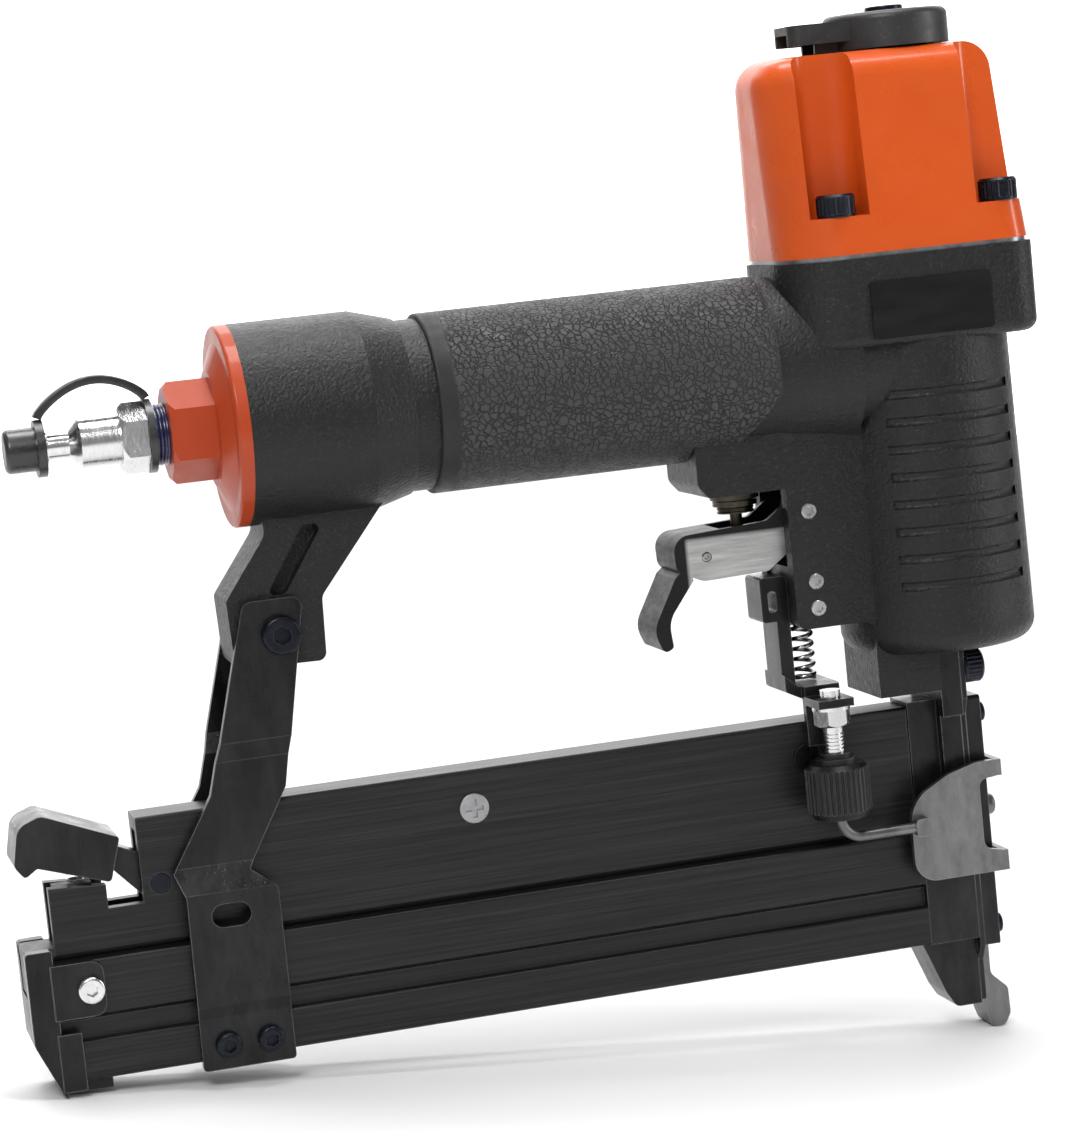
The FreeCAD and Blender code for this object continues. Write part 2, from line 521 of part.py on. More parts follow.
def contact_foot():
    """The contact piece: side plate, front hooks, sliding strip in front of the guide and the hooked tip."""
    near, thick = -13.9, 1.6
    side = prism([(-16.2, 61.0, 12), (-16.2, 41.0, 5.5), (3.4, 41.0, 1), (7.2, 41.0, 1), (7.2, 46.0, 1.5),
                  (2.0, 47.0, 2.5), (2.0, 64.0, 2), (7.0, 64.5, 1), (7.0, 68.5, 1), (1.5, 68.5, 4), (-6.0, 66.5, 9)],
                 "xz", near, near + thick)
    hooks = [box(6.4, 8.0, near, 1.0, z0, z1) for z0, z1 in ((41.0, 46.0), (64.5, 68.5))]
    bridge = box(6.4, 8.0, -3.0, 3.0, 41.0, 68.5)
    web = box(5.0, 7.0, -2.0, 2.0, 52.0, 58.0)
    strip = wide(2.4, 4.2, 4.6, 9.0, 71.0)
    link = box(3.6, 7.0, -2.0, 2.0, 52.0, 58.0)
    nub = cyl(V(7.8, 0, 55.0), X, 2.6, 2.6)
    nub = nub.makeFillet(1.1, [e for e in nub.Edges if e.isClosed() and e.CenterOfMass.x > 9])
    tip = prism([(2.4, 16.0), (2.4, 3.5, 3), (3.6, 0.0, 1.5), (7.0, 0.0, 2.0), (8.6, 3.0, 2.0), (8.4, 9.5, 2.0),
                 (4.2, 13.5, 2.5), (4.2, 16.0)], "xz", -4.6, 4.6)
    boss = box(-16.0, -13.4, near, WHEEL.y + 1.6, 52.8, 57.2) if WHEEL.y + 1.6 > near else None
    pad = prism([(-16.0, 52.8, 1), (-12.0, 52.8, 1), (-12.0, 57.2, 1), (-16.0, 57.2, 1)], "xz", WHEEL.y - 1.6, near + 0.4)
    return fuse(*[s for s in (side, *hooks, bridge, web, link, strip, nub, tip, boss, pad) if s])


# ---------------------------------------------------------------- nose
def cover_holes():
    return [cyl(V(0, y, z), X, 1.55, 12) for y in COVER_SCREW_Y for z in COVER_SCREW_Z]


def driver_guide():
    """The rear guide plate: channel for the blade, entry slot for fasteners, and the tapered nose."""
    plate = wide(-4.6, 0.7, 10.8, 80.0, 96.9)
    column = wide(-12.0, 0.7, 5.8, 53.0, 84.0)
    front = wide(-4.6, 0.7, 8.6, 24.0, 82.0)
    foot = wide(-12.0, 0.7, 8.6, 24.0, MAG_TOP)
    nose = prism([(-13.5, 23.8), (-12, 23.8), (-12, 30), (0.7, 30), (0.7, NOSE_Z), (-6.0, NOSE_Z, 2), (-8.4, 11.0, 3)],
                 "xz", -6.2, 6.2)
    channel = box(-0.72, 2, -SLOT, SLOT, 0, 120)
    entry = wide(-30, 0.0, SLOT, 26.0, 80.0)
    holes = [cyl(V(-10, y, 91.5), X, 2.6, 20) for y in (-7.5, 7.5)]
    return cut(fuse(plate, column, front, foot, nose), channel, entry, *holes, *cover_holes())


def front_plate():
    """The flat plate that closes the blade's channel."""
    plate = prism([(-10.8, 96.9, 1.5), (-10.8, 84.0), (-8.6, 80.0), (-8.6, 22.0), (-6.2, 18.0), (-6.2, NOSE_Z + 0.6, 1),
                   (6.2, NOSE_Z + 0.6, 1), (6.2, 18.0), (8.6, 22.0), (8.6, 80.0), (10.8, 84.0), (10.8, 96.9, 1.5)],
                  "yz", 0.7, 2.0)
    return cut(plate, *[cyl(V(-10, y, 91.5), X, 2.6, 20) for y in (-7.5, 7.5)], *cover_holes())


def front_cover():
    """The outer cover that keeps the contact strip against the guide; slotted for the strip's link."""
    cover = prism([(-8.6, 84.0, 1), (-8.6, 21.6, 1), (8.6, 21.6, 1), (8.6, 84.0, 1)], "yz", 2.0, 6.0)
    track = wide(1.5, 4.5, 5.0, 0, 80.0)
    slot = wide(0, 10, 2.4, 48.0, 70.0)
    return cut(cover, track, slot, *cover_holes())


# ---------------------------------------------------------------- magazine
def fixed_magazine():
    """The lower extrusion: two ribs each side, a waist between them and a T-slot for the moving rail."""
    section = [(RIB_HALF, MAG_TOP, 0.6), (RIB_HALF, 39.5, 0.6), (6.6, 38.2), (6.6, 33.8), (RIB_HALF, 33.5, 0.6),
               (RIB_HALF, MAG_FOOT, 1.4)]
    mirrored = [(-p[0],) + p[1:] for p in reversed(section)]
    bar = prism(section + mirrored, "yz", RAIL_REAR - 1.0, -12.0)
    slot = wide(-300, 50, SLOT, 26.0, 60)
    tee = wide(-300, 50, 5.2, 44.6, 50.0)
    mouth = wide(-300, 50, 4.2, 49.0, 60)
    screws = [cyl(V(x, -20, 28.0), Y, 1.9, 40) for x in (-187.2, -177.2)]
    rear = cyl(V(-217.2, -20, 45.8), Y, 1.6, 40)
    return cut(bar, slot, tee, mouth, *screws, rear)


def moving_rail():
    """The upper extrusion that slides back to load, with the latch's notch and its T-shaped foot."""
    section = [(RAIL_HALF, RAIL_TOP, 0.8), (RAIL_HALF, RAIL_FOOT, 0.4), (3.95, RAIL_FOOT - 0.4), (3.95, 49.7), (4.95, 49.7), (4.95, 44.9)]
    mirrored = [(-p[0],) + p[1:] for p in reversed(section)]
    bar = prism(section + mirrored, "yz", RAIL_REAR, RAIL_FRONT)
    slot = wide(-300, 50, SLOT, 40, 79.5)
    notch = prism([(-230, 100), (-202.3, 100), (-202.3, 63.0), (-210.6, 63.0), (-210.6, 68.6), (-230, 69.8)], "xz", -20, 20)
    pin = cyl(V(LATCH_PIN.x, -20, LATCH_PIN.z), Y, 2.5, 40)
    screws = [cyl(V(x, -20, z), Y, 1.6, 40) for x, z in ((-122.2, 73.8), (-38.6, 74.2))]
    return cut(bar, slot, notch, pin, *screws)


def rail_plug():
    """The block that closes the moving rail's rear end and fills the gate in the rear cover."""
    core = wide(-222.5, -213.5, SLOT - 0.02, 54.0, 69.1)
    end = fuse(wide(-231.2, -224.05, 4.95, 44.9, 49.7), wide(-231.2, -224.05, 3.95, 49.7, 53.5),
               wide(-231.2, -224.05, 6.0, 53.5, 55.6))
    neck = wide(-226.0, -221.0, SLOT - 0.02, 54.0, 55.6)
    return fuse(core, end, neck)


def rear_cover():
    """The fixed magazine's end cover with its side tabs and the foot lip."""
    cover = prism([(-231.4, 55.8, 1.0), (-231.4, 34.0, 3), (-225.6, 21.0, 1.5), (-225.1, 21.0), (-225.1, 55.8, 0.5)], "xz", -9.6, 9.6)
    lip = box(-226.0, -214.2, -7.0, 7.0, 21.4, MAG_FOOT)
    tab = prism([(-226.0, 39.4), (-226.0, 52.3), (-213.9, 52.3, 3), (-213.9, 39.4, 3)], "xz", -10.6, -9.02)
    link = box(-226.0, -225.1, -10.6, -9.0, 39.4, 52.3)
    tabs = both(fuse(tab, link))
    low_tab = box(-226.0, -220.5, -10.4, -9.02, 22.5, 36.0)
    low_link = box(-226.0, -225.1, -10.4, -9.0, 22.5, 36.0)
    low_tabs = both(fuse(low_tab, low_link))
    hole = cyl(V(-217.2, -20, 45.8), Y, 1.8, 40)
    gate = fuse(wide(-240, -225.0, 5.3, 44.3, 60), wide(-240, -225.0, 6.4, 53.1, 60))
    return cut(fuse(cover, lip, *tabs, *low_tabs), hole, gate)


def latch():
    """The release lever: a folded channel over the rail's end, with a tongue to the pin inside the rail."""
    out, inner = 8.6, 7.0
    side = [(-231.2, 76.0, 2.0), (-229.5, 85.0, 4.0), (-224.0, 87.0, 3.0), (-206.5, 79.6, 0.8), (-209.5, 69.4, 1),
            (-226.0, 75.0, 0.8), (-229.0, 73.0, 1)]
    body = prism(side, "xz", -out, out)
    hollow = prism([(-227.4, 60), (-227.4, 82.0, 2.5), (-224.5, 84.6, 2), (-200, 74.4), (-200, 60)], "xz", -inner, inner)
    tongue = prism([(-212.5, 82.0), (-207.5, 80.0), (-206.5, 76.5), (-196.0, 71.5, 2), (-194.8, 64.0, 2.5),
                    (-201.0, 63.2, 2), (-209.0, 72.0, 2), (-213.0, 74.0)], "xz", -2.9, 2.9)
    pin = cyl(V(LATCH_PIN.x, -20, LATCH_PIN.z), Y, 2.5 + FIT, 40)
    return cut(fuse(cut(body, hollow), tongue), pin)


def latch_pin():
    shaft = cyl(V(LATCH_PIN.x, -RAIL_HALF - 0.3, LATCH_PIN.z), Y, 2.5, 2 * RAIL_HALF + 0.6)
    return shaft.makeFillet(0.25, [e for e in shaft.Edges if e.isClosed()])


def pusher():
    """The follower that feeds the fasteners towards the blade."""
    block = wide(-34.0, -18.0, SLOT - 0.15, 28.0, 79.0)
    shoe = wide(-34.0, -24.0, 2.9, 60.0, 72.0)
    bore = fuse(cyl(V(-34.5, 0, 66.0), X, 2.2, 9.0), cyl(V(-40, 0, 66.0), X, 0.9 + 2 * FIT, 30))
    return cut(fuse(block, shoe), bore)


def spring_rod():
    """The follower's guide rod, with the block that holds its rear end in the rail."""
    seat = wide(-193.6, -191.6, SLOT - 0.02, 58.0, 74.0)
    return fuse(seat, cyl(V(-192.0, 0, 66.0), X, 0.9, 176.0))


def hanger(side):
    """One hanger strap: narrow at the lug, set in beside the rail, set out over the rib, and turned in below."""
    profile = [(-9.0, 130.0), (-9.0, 98.0), (-6.9, 93.5), (-6.9, 70.0), (-9.9, 64.0), (-9.9, 37.5), (-9.1, 34.5),
               (-9.1, 22.3)]
    outer = [(y - PLATE, z) for y, z in profile]
    band = prism(profile + outer[::-1], "yz", -215, -140)
    front = prism([(-158.4, 130.0, 2.5), (-166.8, 86.0, 2), (-177.4, 68.0), (-171.6, 63.5, 2), (-171.6, 22.3, 1.0),
                   (-193.6, 22.3, 1.0), (-193.2, 63.5, 2), (-195.2, 69.0), (-184.6, 86.0, 2), (-172.6, 130.0, 2.5)],
                  "xz", -30, 0)
    slot_mid, slot_r, slot_half = V(-183.2, -20, 58.4), 2.7, 1.9
    slot = fuse(cyl(slot_mid - V(slot_half, 0, 0), Y, slot_r, 30), cyl(slot_mid + V(slot_half, 0, 0), Y, slot_r, 30),
                box(slot_mid.x - slot_half, slot_mid.x + slot_half, -20, 10, slot_mid.z - slot_r, slot_mid.z + slot_r))
    bolt = cyl(V(LUG_BOLT.x, -30, LUG_BOLT.z), Y, 2.6, 40)
    screws = [cyl(V(x, -30, 28.0), Y, 1.9, 40) for x in (-187.2, -177.2)]
    strap = cut(band.common(front), slot, bolt, *screws)
    return strap if side < 0 else strap.mirror(V(0, 0, 0), Y)


def lug_bolt():
    """The bolt through the lug and both straps, with its domed nut on the far side."""
    seat = V(LUG_BOLT.x, -9.0 - PLATE, LUG_BOLT.z)
    bolt = button_screw(seat, -Y, 4.6, 2.6, 2.6, 24.5, 4.0)
    return bolt


def lug_nut():
    base = V(LUG_BOLT.x, 9.0 + PLATE, LUG_BOLT.z)
    return hexagon(base, Y, 8.0, 3.4).cut(cyl(base - V(0, 1, 0), Y, 2.62, 10))


# ---------------------------------------------------------------- build
def main():
    os.makedirs("parts", exist_ok=True)
    save("main_housing", housing())
    save("handle_grip", grip())
    save("rear_end_cap", rear_end_cap())
    save("end_cap_seal", Part.makeTorus(18.9, 0.95, V(-157.9, 0, HANDLE_Z), X))
    save("cylinder_cap", cap())
    save("cap_gasket", gasket())
    save("cap_screws", *[cap_screw(V(x, y, POCKET_Z), Z, 5.4, 22.0, 4.0)
                         for x in SCREW_X for y in (-SCREW_Y, SCREW_Y)])
    save("air_plug", air_plug())
    save("tether_ring", tether_ring())
    save("dust_cap", dust_cap())
    save("dust_cap_tether", tether())
    save("exhaust_deflector", deflector())
    save("deflector_screw", deflector_screw())
    save("cylinder_sleeve", sleeve())
    save("bumper", bumper())
    save("piston_driver", piston())
    save("piston_ring", o_ring(188.3, CYLINDER_BORE_R - 1.3, 1.05))
    save("head_valve", head_valve())
    save("head_valve_spring", coil(V(0, 0, 199.9), Z, 11.5, 0.7, 16.9, 4))
    save("trigger", trigger())
    save("trigger_pin", spring_pin(TRIGGER_PIVOT.x, TRIGGER_PIVOT.z, 2.0, 12.6))
    save("trigger_arm", trigger_arm())
    save("trigger_arm_pin", spring_pin(ARM_PIVOT.x, ARM_PIVOT.z, 1.2, 8.2))
    save("valve_body", valve_body())
    save("valve_stem", valve_stem())
    save("valve_spring", coil(V(STEM_X, 0, 151.7), Z, 3.0, 0.35, 5.6, 4))
    save("safety_guide", safety_guide())
    save("guide_pins", *[spring_pin(-34.2, z, 2.0, 12.6) for z in (111.0, 117.5)])
    save("contact_yoke", yoke())
    save("safety_spring", coil(V(-35.5, 0, 92.1), Z, 2.6, 0.55, 14.8, 6))
    save("adjuster_rod", adjuster_rod())
    save("lock_nut", lock_nut())
    save("depth_wheel", depth_wheel())
    save("contact_wire", contact_wire())
    save("contact_foot", contact_foot())
    save("driver_guide", driver_guide())
    save("front_plate", front_plate())
    save("front_cover", front_cover())
    save("nose_screws", *[cap_screw(V(2.0, y, 91.5), X, 5.0, 18.0, 4.0) for y in (-7.5, 7.5)])
    save("cover_screws", *[button_screw(V(6.0, y, z), X, 2.4, 1.2, 1.5, 5.0, 2.0)
                           for y in COVER_SCREW_Y for z in COVER_SCREW_Z])
    save("fixed_magazine", fixed_magazine())
    save("moving_rail", moving_rail())
    save("rail_plug", rail_plug())
    save("rail_screws", *[s for x, z in ((-122.2, 73.8), (-38.6, 74.2))
                          for s in both(cross_screw(V(x, -RAIL_HALF, z), -Y, 3.6, 0.6, 1.6, 2.8))])
    save("rear_cover", rear_cover())
    save("rear_cover_screws", *both(button_screw(V(-217.2, -10.6, 45.8), -Y, 3.2, 2.2, 1.6, 4.6, 2.6)))
    save("latch", latch())
    save("latch_pin", latch_pin())
    save("latch_spring", coil(V(-216.5, 0, 69.2), Z, 2.2, 0.3, 10.8, 5))
    save("pusher", pusher())
    save("spring_rod", spring_rod())
    save("pusher_spring", coil(V(-191.5, 0, 66.0), X, 1.6, 0.3, 165.9, 22))
    save("hanger_left", hanger(-1))
    save("hanger_right", hanger(1))
    save("hanger_bolt", lug_bolt())
    save("hanger_nut", lug_nut())
    save("hanger_screws", *[s for x in (-187.2, -177.2)
                            for s in both(button_screw(V(x, -9.1 - PLATE, 28.0), -Y, 3.1, 2.2, 1.85, 7.5, 3.0))])
    save("nameplate", prism([(-18.2, 174.0, 1), (12.2, 174.0, 1), (12.2, 187.6, 1), (-18.2, 187.6, 1)],
                            "xz", -BODY_HALF - 0.5, -BODY_HALF))


main()
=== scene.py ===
"""Finish of the pneumatic nail gun: materials, knurled screws, springs, strap, studio and camera."""
import json
import math
import bpy
from mathutils import Matrix, Vector


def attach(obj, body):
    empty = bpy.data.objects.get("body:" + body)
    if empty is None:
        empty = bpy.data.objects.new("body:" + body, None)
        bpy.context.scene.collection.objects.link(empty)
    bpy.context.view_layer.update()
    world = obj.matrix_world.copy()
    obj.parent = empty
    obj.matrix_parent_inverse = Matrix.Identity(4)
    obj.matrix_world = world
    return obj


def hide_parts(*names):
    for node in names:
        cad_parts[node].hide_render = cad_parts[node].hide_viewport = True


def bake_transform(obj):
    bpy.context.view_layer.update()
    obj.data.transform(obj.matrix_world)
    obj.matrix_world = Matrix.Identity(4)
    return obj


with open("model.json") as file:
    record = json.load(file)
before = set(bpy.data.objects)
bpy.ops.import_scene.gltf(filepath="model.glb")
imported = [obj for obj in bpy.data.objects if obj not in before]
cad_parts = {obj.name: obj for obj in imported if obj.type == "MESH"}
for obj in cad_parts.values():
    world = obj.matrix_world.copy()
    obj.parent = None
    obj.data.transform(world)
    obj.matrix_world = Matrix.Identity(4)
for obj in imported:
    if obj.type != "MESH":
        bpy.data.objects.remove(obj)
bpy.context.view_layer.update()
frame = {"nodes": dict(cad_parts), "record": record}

MM = 0.001
PLUG_THREAD_X = (-186.9, -186.0, -185.1, -184.5)
CAP_SCREW_X, CAP_SCREW_Y, CAP_SEAT_Z = (-23.0, 18.0), 18.2, 203.5
NOSE_SCREW_Y, NOSE_SCREW_Z, NOSE_SEAT_X = 7.5, 91.5, 2.0
# head radius, head height, socket across flats, shank radius, shank length
CAP_SCREW_SIZES = (4.59, 5.4, 4.0, 2.7, 20)
NOSE_SCREW_SIZES = (4.25, 5.0, 4.0, 2.5, 17)
FLOOR_TOUCH_X = 5.5 * MM          # the contact tip rests here, and the floor rises from it to the rear cover
FLOOR_SLOPE = 0.0916
CAMERA_PLACE = Vector((-0.2948, -0.7896, 0.2211))
CAMERA_YAW, CAMERA_DOWN, CAMERA_ROLL = math.radians(13.94), math.radians(6.54), math.radians(5.79)
LENS = 108.9
TOOL_MIDDLE = (-0.1, 0, 0.13)
LIGHTS = (                        # name, place, target, size, power
    ("key", (-0.45, -0.90, 0.90), TOOL_MIDDLE, (0.40, 0.40), 8),
    ("top", (-0.05, 0.05, 1.1), TOOL_MIDDLE, (0.9, 0.30), 10),
    ("side", (0.95, -0.45, 0.35), TOOL_MIDDLE, (0.2, 0.7), 4),
    ("back", (0.3, 1.0, 1.1), TOOL_MIDDLE, (1.0, 0.4), 4),
    ("far_floor", (0.2, 1.6, 1.2), (0.2, 1.4, 0), (3.0, 1.2), 16),
)
WORLD_STRENGTH = 0.26
BACKDROP_GLOW = 1.05
UP, AHEAD = Vector((0, 0, 1)), Vector((1, 0, 0))
SPRINGS = (                       # name, base, axis, radius, wire, height, turns, CAD node, fixed end, bodies
    ("safety_coil", (-35.5, 0, 92.1), UP, 2.6, 0.55, 14.8, 6.5, "safety_spring", "high", ("frame", "yoke")),
    ("head_valve_coil", (0, 0, 199.9), UP, 11.5, 0.7, 16.9, 4.5, "head_valve_spring", "high",
     ("frame", "head_valve")),
    ("valve_coil", (-49.0, 0, 151.7), UP, 3.0, 0.35, 5.6, 4, "valve_spring", "high", ("frame", "stem")),
    ("latch_coil", (-216.5, 0, 69.2), UP, 2.2, 0.3, 10.8, 6, "latch_spring", "low", ("rail", "latch")),
    ("follower_coil", (-191.5, 0, 66.0), AHEAD, 1.6, 0.3, 165.9, 30, "pusher_spring", "low",
     ("rail", "pusher")),
)


# ---------------------------------------------------------------- node helpers
class Finish:
    """One procedural material, built up from small parts."""

    def __init__(self, name, colour, rough, metal=0.0, coat=0.0, coat_rough=0.08, ior=1.5, specular=0.5):
        self.material = bpy.data.materials.new(name)
        self.material.use_nodes = True
        self.tree = self.material.node_tree
        self.shader = self.tree.nodes["Principled BSDF"]
        values = {"Base Color": (*colour, 1), "Roughness": rough, "Metallic": metal, "Coat Weight": coat,
                  "Coat Roughness": coat_rough, "IOR": ior, "Specular IOR Level": specular}
        for key, value in values.items():
            self.shader.inputs[key].default_value = value
        self.place = self.add("ShaderNodeTexCoord").outputs["Object"]
        self.height = None

    def add(self, kind, inputs=None, **settings):
        node = self.tree.nodes.new(kind)
        for key, value in settings.items():
            setattr(node, key, value)
        for key, value in (inputs or {}).items():
            if isinstance(value, bpy.types.NodeSocket):
                self.tree.links.new(value, node.inputs[key])
            else:
                node.inputs[key].default_value = value
        return node

    def stretched(self, stretch):
        return self.add("ShaderNodeMapping", {"Vector": self.place, "Scale": stretch}).outputs["Vector"]

    def noise(self, scale, detail=3.0, rough=0.55, stretch=(1, 1, 1), warp=0.0):
        inputs = {"Vector": self.stretched(stretch), "Scale": scale, "Detail": detail, "Roughness": rough,
                  "Distortion": warp}
        return self.add("ShaderNodeTexNoise", inputs).outputs["Fac"]

    def cells(self, scale, warp_scale, warp):
        """Distance to the edge of irregular cells, with the cell walls bent by noise."""
        bend = self.add("ShaderNodeTexNoise", {"Vector": self.place, "Scale": warp_scale, "Detail": 2.0})
        push = self.add("ShaderNodeVectorMath", {0: bend.outputs["Color"], 1: (warp, warp, warp)},
                        operation="MULTIPLY")
        moved = self.add("ShaderNodeVectorMath", {0: self.place, 1: push.outputs[0]}, operation="ADD")
        cell = self.add("ShaderNodeTexVoronoi", {"Vector": moved.outputs[0], "Scale": scale},
                        feature="DISTANCE_TO_EDGE")
        return cell.outputs["Distance"]

    def remap(self, value, low, high, to_low, to_high):
        inputs = {"Value": value, "From Min": low, "From Max": high, "To Min": to_low, "To Max": to_high}
        return self.add("ShaderNodeMapRange", inputs).outputs["Result"]

    def calc(self, kind, a, b=0.0):
        return self.add("ShaderNodeMath", {0: a, 1: b}, operation=kind).outputs[0]

    def mix(self, factor, a, b):
        node = self.add("ShaderNodeMix", {"Factor": factor}, data_type="RGBA")
        for index, value in ((6, a), (7, b)):
            if isinstance(value, bpy.types.NodeSocket):
                self.tree.links.new(value, node.inputs[index])
            else:
                node.inputs[index].default_value = (*value, 1)
        return node.outputs[2]

    def axis(self, name):
        return self.add("ShaderNodeSeparateXYZ", {0: self.place}).outputs[name]

    def facing(self, name):
        """How far the surface's true normal points along one axis, either way."""
        normal = self.add("ShaderNodeNewGeometry").outputs["True Normal"]
        parts = self.add("ShaderNodeSeparateXYZ", {0: normal})
        return self.calc("ABSOLUTE", parts.outputs[name])

    def edges(self, radius):
        """Near 1 on sharp edges and 0 on flat faces."""
        soft = self.add("ShaderNodeBevel", {"Radius": radius}, samples=4).outputs["Normal"]
        hard = self.add("ShaderNodeNewGeometry").outputs["Normal"]
        dot = self.add("ShaderNodeVectorMath", {0: soft, 1: hard}, operation="DOT_PRODUCT").outputs["Value"]
        return self.remap(dot, 0.995, 0.86, 0.0, 1.0)

    def set(self, socket, value):
        self.tree.links.new(value, self.shader.inputs[socket])

    def bump(self, height, distance, strength=1.0):
        inputs = {"Height": height, "Distance": distance, "Strength": strength}
        if self.height is not None:
            inputs["Normal"] = self.height
        self.height = self.add("ShaderNodeBump", inputs).outputs["Normal"]
        self.set("Normal", self.height)


# ---------------------------------------------------------------- finishes
def textured_coating():
    """The fine-grained black coating of the casting."""
    f = Finish("body_coating", (0.03, 0.03, 0.032), 0.5, specular=0.32)
    grain = f.noise(1250, 2.0, 0.6)
    coarse = f.noise(620, 3.0)
    cloud = f.noise(35, 3.0)
    speck = f.remap(grain, 0.58, 0.75, 0.0, 0.5)
    base = f.mix(cloud, (0.006, 0.006, 0.0065), (0.012, 0.012, 0.0125))
    f.set("Base Color", f.mix(speck, base, (0.040, 0.040, 0.041)))
    f.set("Roughness", f.remap(coarse, 0.3, 0.7, 0.34, 0.50))
    f.bump(coarse, 0.00025, 0.5)
    f.bump(grain, 0.00030, 0.9)
    return f


def moulded_grip():
    """Grip rubber with a leather-like relief between its two plain ends, and painted shade in the relief's
    grooves.
    """
    f = Finish("grip_rubber", (0.045, 0.045, 0.047), 0.6, specular=0.32)
    wall = f.cells(660, 380, 0.0024)
    ridge = f.remap(wall, 0.0, 0.14, 0.0, 1.0)
    along = f.axis("X")
    rear_end = f.remap(along, -0.1195, -0.1185, 0.0, 1.0)
    front_end = f.remap(along, -0.0405, -0.0425, 0.0, 1.0)
    relief = f.calc("MULTIPLY", ridge, f.calc("MULTIPLY", rear_end, front_end))
    fine = f.noise(1900, 2.0)
    # Painted shade: the grooves between the raised cells are coloured darker than the cell tops, and the
    # plain ends take the same dark colour.
    shade = f.mix(relief, (0.012, 0.012, 0.013), (0.044, 0.044, 0.046))
    f.set("Base Color", f.mix(f.remap(f.noise(60, 4.0), 0.3, 0.7, 0.0, 0.4), shade, (0.030, 0.030, 0.032)))
    f.set("Roughness", f.remap(f.noise(240, 3.0), 0.3, 0.7, 0.42, 0.66))
    f.bump(relief, 0.00040, 0.8)
    f.bump(fine, 0.00006, 0.7)
    return f


def gloss_paint(name, bright, deep, rough):
    """Orange paint: cloudy tone, faint pores, dust and a thin clear coat."""
    f = Finish(name, bright, rough, coat=0.22, coat_rough=0.10, specular=0.28)
    cloud = f.noise(28, 4.0)
    pores = f.noise(900, 2.0)
    dust = f.remap(f.noise(2600, 2.0), 0.70, 0.78, 0.0, 0.35)
    tone = f.mix(f.remap(cloud, 0.35, 0.65, 0.0, 1.0), bright, deep)
    f.set("Base Color", f.mix(dust, tone, (0.35, 0.05, 0.01)))
    f.set("Roughness", f.remap(f.noise(110, 5.0), 0.3, 0.7, rough - 0.06, rough + 0.12))
    f.bump(f.noise(230, 2.0), 0.00025, 0.25)
    f.bump(pores, 0.00005, 0.3)
    return f


def plain_metal(name, dark, light, rough, scale=300, stretch=(1, 1, 1), edge=None, metal=1.0, pits=0.35):
    """Metal with lengthways or even brushing, small pits, cloudy tone, and lighter edges that are partly
    rubbed wear and partly painted highlight.
    """
    f = Finish(name, dark, rough, metal=metal)
    line = f.noise(scale, 4.0, 0.65, stretch)
    cloud = f.noise(45, 4.0)
    pit = f.remap(f.noise(1400, 2.0), 0.62, 0.74, 0.0, 1.0)
    tone = f.mix(f.remap(line, 0.3, 0.7, 0.0, 1.0), dark, light)
    tone = f.mix(f.remap(cloud, 0.45, 0.75, 0.0, 0.5), tone, dark)
    if edge:
        # Painted highlight along the edges, mixed with rubbed wear: the edges are lightened towards the edge
        # colour.
        wear_and_edge_highlight = f.calc("MULTIPLY", f.edges(0.00035), f.remap(cloud, 0.35, 0.6, 0.25, 0.9))
        tone = f.mix(wear_and_edge_highlight, tone, edge)
    f.set("Base Color", tone)
    wear = f.calc("ADD", line, f.calc("MULTIPLY", cloud, 0.6))
    f.set("Roughness", f.remap(wear, 0.5, 1.1, rough - 0.1, rough + 0.16))
    f.bump(line, 0.00006, 0.5)
    f.bump(f.calc("MULTIPLY", pit, -1.0), 0.00008, pits)
    return f


def trigger_finish():
    """Silver side walls; the folded top, back and finger hook are coated black."""
    f = plain_metal("trigger_finish", (0.42, 0.42, 0.42), (0.62, 0.62, 0.61), 0.34, 260, (0.25, 1, 3))
    f.shader.inputs["Specular IOR Level"].default_value = 0.15
    silver = f.shader.inputs["Base Color"].links[0].from_socket
    side = f.remap(f.facing("Y"), 0.75, 0.9, 0.0, 1.0)
    ahead = f.remap(f.axis("X"), -0.0650, -0.0640, 0.0, 1.0)
    below = f.remap(f.axis("Z"), 0.1312, 0.1300, 0.0, 1.0)
    bare = f.calc("MULTIPLY", side, f.calc("MULTIPLY", ahead, below))
    f.set("Base Color", f.mix(bare, (0.012, 0.012, 0.013), silver))
    f.set("Metallic", f.remap(bare, 0.0, 1.0, 0.1, 1.0))
    return f


def rubber(name, colour, rough, coat=0.0):
    """Rubber or plastic with cloudy tone, dust and a fine skin."""
    f = Finish(name, colour, rough, coat=coat, coat_rough=0.2)
    cloud = f.noise(90, 4.0)
    dust = f.remap(f.noise(1200, 2.0), 0.62, 0.75, 0.0, 0.4)
    f.set("Base Color", f.mix(dust, f.mix(cloud, colour, tuple(1.7 * c for c in colour)), (0.09, 0.09, 0.09)))
    f.set("Roughness", f.remap(f.noise(300, 4.0), 0.3, 0.7, rough - 0.08, rough + 0.12))
    f.bump(f.noise(1100, 3.0), 0.00008, 0.4)
    return f


def brushed_black():
    """Black anodising over lengthways brushing, a little paler along the extrusion's edges."""
    f = Finish("anodised_black", (0.02, 0.02, 0.021), 0.4, metal=0.55)
    hair = f.noise(1700, 3.0, 0.7, (0.012, 1, 1))
    broad = f.noise(420, 3.0, 0.6, (0.008, 1, 1))
    cloud = f.noise(22, 3.0)
    tone = f.mix(f.remap(hair, 0.3, 0.72, 0.0, 1.0), (0.006, 0.006, 0.0065), (0.034, 0.034, 0.036))
    tone = f.mix(f.remap(broad, 0.35, 0.7, 0.0, 0.7), tone, (0.012, 0.012, 0.013))
    f.set("Base Color", f.mix(f.calc("MULTIPLY", f.edges(0.0004), 0.5), tone, (0.16, 0.16, 0.165)))
    f.set("Roughness", f.remap(f.calc("ADD", hair, f.calc("MULTIPLY", cloud, 0.4)), 0.4, 1.0, 0.28, 0.50))
    f.bump(hair, 0.00005, 0.55)
    f.bump(broad, 0.00006, 0.25)
    return f


